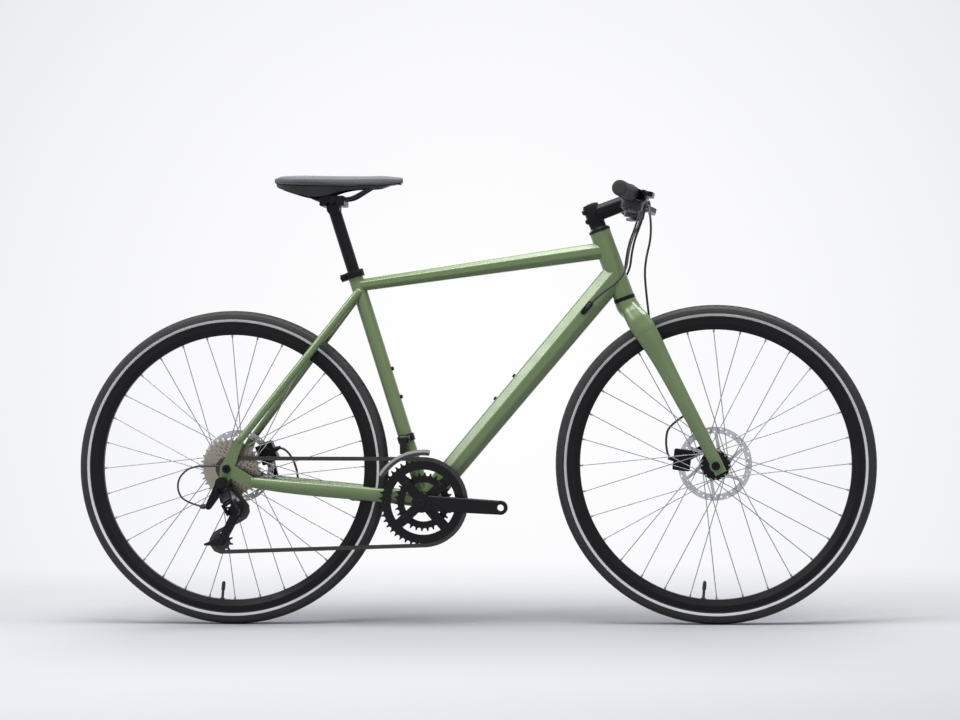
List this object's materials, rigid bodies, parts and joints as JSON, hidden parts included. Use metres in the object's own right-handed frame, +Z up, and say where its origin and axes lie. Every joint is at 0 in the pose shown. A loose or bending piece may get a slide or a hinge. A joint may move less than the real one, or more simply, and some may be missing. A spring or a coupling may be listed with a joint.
{
  "type": "flat-bar hybrid bike",
  "caption": "Flat-bar hybrid bike with a faceted frame, rigid fork, spoked wheels, hydraulic disc brakes, derailleur gears, turning cranks and steering, and an adjustable saddle.",
  "frame": {"origin": "on the ground under the middle of the bike, midway between the axles", "axes": "+X forward, +Y to the rider's left, +Z up"},
  "size_m": [1.7359, 0.6116, 0.9776],
  "materials": {
    "frame_paint": "satin green",
    "tyre": "matte black with a pale stripe",
    "rim": "matte black anodised",
    "spokes": "satin",
    "black_metal": "black anodised",
    "steel": "satin",
    "black_steel": "black coated",
    "grip": "matte",
    "hose": "satin",
    "black_plastic": "matte",
    "saddle_cover": "matte"
  },
  "bodies": {
    "frame": {"head_tube": "frame_paint", "top_tube": "frame_paint", "down_tube": "frame_paint", "seat_tube": "frame_paint", "bottom_bracket_shell": "frame_paint", "chainstays": "frame_paint", "seatstays": "frame_paint", "dropouts": "frame_paint", "bearing_cups": "black_metal", "seat_clamp": "black_metal", "frame_fittings": "black_metal", "front_derailleur_clamp": "black_metal", "rear_brake_caliper": "black_metal", "rear_axle": "black_steel", "chain": "steel", "control_cables": "hose", "rear_cables": "hose", "derailleur_mount": "black_metal"},
    "steering": {"fork_crown": "frame_paint", "fork_legs": "frame_paint", "headset_spacers": "black_metal", "stem": "black_metal", "stem_faceplate": "black_metal", "handlebar": "black_metal", "grips": "grip", "brake_lever_bodies": "black_metal", "shifter_pods": "black_plastic", "front_brake_caliper": "black_metal", "front_brake_hose": "hose", "front_axle": "black_steel"},
    "front_wheel": {"front_tyre": "tyre", "front_rim": "rim", "front_spokes": "spokes", "front_hub": "black_metal", "front_rotor": "steel"},
    "rear_wheel": {"rear_tyre": "tyre", "rear_rim": "rim", "rear_spokes": "spokes", "rear_hub": "black_metal", "rear_rotor": "steel"},
    "cassette": {"cassette": "steel"},
    "crank": {"crank_arm_right": "black_metal", "crank_arm_left": "black_metal", "chainrings": "black_metal"},
    "brake_lever_right": {"brake_lever_right": "black_metal"},
    "brake_lever_left": {"brake_lever_left": "black_metal"},
    "shift_lever_right": {"shift_lever_right": "black_plastic"},
    "shift_lever_left": {"shift_lever_left": "black_plastic"},
    "derailleur_link_inner": {"derailleur_link_inner": "black_metal"},
    "derailleur_link_outer": {"derailleur_link_outer": "black_metal"},
    "derailleur_knuckle": {"derailleur_knuckle": "black_metal"},
    "derailleur_cage": {"derailleur_cage": "black_metal"},
    "guide_pulley": {"guide_pulley": "black_plastic"},
    "tension_pulley": {"tension_pulley": "black_plastic"},
    "front_derailleur_cage": {"front_derailleur_cage": "steel"},
    "seatpost": {"seatpost": "black_metal"},
    "saddle": {"saddle_clamp": "black_metal", "saddle_rails": "steel", "saddle_base": "black_plastic", "saddle_pad": "saddle_cover"}
  },
  "joints": [
    {"name": "steering_turn", "type": "hinge", "parent": "frame", "child": "steering", "pos_m": [0.33575, 0, 0.69767], "axis": [-0.3338, 0, 0.9426], "range_deg": [-70, 70], "deforming": ["control_cables"]},
    {"name": "front_wheel_spin", "type": "hinge", "parent": "steering", "child": "front_wheel", "pos_m": [0.525, 0, 0.343], "axis": [0, 1, 0], "continuous": true},
    {"name": "rear_wheel_spin", "type": "hinge", "parent": "frame", "child": "rear_wheel", "pos_m": [-0.525, 0, 0.343], "axis": [0, 1, 0], "continuous": true},
    {"name": "crank_spin", "type": "hinge", "parent": "frame", "child": "crank", "pos_m": [-0.10159, 0, 0.268], "axis": [0, 1, 0], "continuous": true, "deforming": ["chain"]},
    {"name": "cassette_spin", "type": "hinge", "parent": "frame", "child": "cassette", "pos_m": [-0.525, 0, 0.343], "axis": [0, 1, 0], "continuous": true},
    {"name": "brake_lever_right_squeeze", "type": "hinge", "parent": "steering", "child": "brake_lever_right", "pos_m": [0.37936, -0.16958, 0.91059], "axis": [-0.2064, 0.0253, -0.9781], "range_deg": [0, 15], "stiffness_Nm_per_rad": 0.6, "springref_deg": -17.19},
    {"name": "brake_lever_left_squeeze", "type": "hinge", "parent": "steering", "child": "brake_lever_left", "pos_m": [0.37936, 0.16958, 0.91059], "axis": [0.2064, 0.0253, 0.9781], "range_deg": [0, 15], "stiffness_Nm_per_rad": 0.6, "springref_deg": -17.19},
    {"name": "shift_lever_right_push", "type": "hinge", "parent": "steering", "child": "shift_lever_right", "pos_m": [0.35882, -0.12978, 0.88324], "axis": [0.2064, -0.0253, 0.9781], "range_deg": [0, 30], "stiffness_Nm_per_rad": 0.3, "springref_deg": -17.19},
    {"name": "shift_lever_left_push", "type": "hinge", "parent": "steering", "child": "shift_lever_left", "pos_m": [0.35882, 0.12978, 0.88324], "axis": [-0.2064, -0.0253, -0.9781], "range_deg": [0, 30], "stiffness_Nm_per_rad": 0.3, "springref_deg": -17.19},
    {"name": "derailleur_shift", "type": "hinge", "parent": "frame", "child": "derailleur_link_inner", "pos_m": [-0.52588, -0.0815, 0.29267], "axis": [0.8704, 0, 0.4924], "range_deg": [0, 57], "stiffness_Nm_per_rad": 0.8, "springref_deg": -28.65},
    {"name": "derailleur_link_outer_turn", "type": "hinge", "parent": "frame", "child": "derailleur_link_outer", "pos_m": [-0.52588, -0.0935, 0.29267], "axis": [0.8704, 0, 0.4924], "range_deg": [0, 57]},
    {"name": "derailleur_knuckle_turn", "type": "hinge", "parent": "derailleur_link_inner", "child": "derailleur_knuckle", "pos_m": [-0.51385, -0.11061, 0.27141], "axis": [0.8704, 0, 0.4924], "range_deg": [-57, 0]},
    {"name": "derailleur_cage_swing", "type": "hinge", "parent": "derailleur_knuckle", "child": "derailleur_cage", "pos_m": [-0.504, 0, 0.254], "axis": [0, -1, 0], "range_deg": [0, 45], "stiffness_Nm_per_rad": 0.8, "springref_deg": -28.65},
    {"name": "guide_pulley_spin", "type": "hinge", "parent": "derailleur_cage", "child": "guide_pulley", "pos_m": [-0.504, 0, 0.254], "axis": [0, 1, 0], "continuous": true},
    {"name": "tension_pulley_spin", "type": "hinge", "parent": "derailleur_cage", "child": "tension_pulley", "pos_m": [-0.53952, 0, 0.18568], "axis": [0, 1, 0], "continuous": true},
    {"name": "front_derailleur_swing", "type": "hinge", "parent": "frame", "child": "front_derailleur_cage", "pos_m": [-0.14311, -0.0395, 0.4038], "axis": [1, 0, 0], "range_deg": [0, 14], "stiffness_Nm_per_rad": 1.5, "springref_deg": -17.19},
    {"name": "seatpost_slide", "type": "slide", "parent": "frame", "child": "seatpost", "axis": [-0.2924, 0, 0.9563], "range_m": [-0.1, 0.04]},
    {"name": "saddle_tilt", "type": "hinge", "parent": "seatpost", "child": "saddle", "pos_m": [-0.2966, 0, 0.90585], "axis": [0, 1, 0], "range_deg": [-10, 10]}
  ],
  "couplings": [
    {"joint": "cassette_spin", "follows": "crank_spin", "ratio": 4.1818},
    {"joint": "tension_pulley_spin", "follows": "crank_spin", "ratio": 4.1818},
    {"joint": "guide_pulley_spin", "follows": "crank_spin", "ratio": -4.1818},
    {"joint": "derailleur_knuckle_turn", "follows": "derailleur_shift", "ratio": -1},
    {"joint": "derailleur_link_outer_turn", "follows": "derailleur_shift", "ratio": 1}
  ]
}
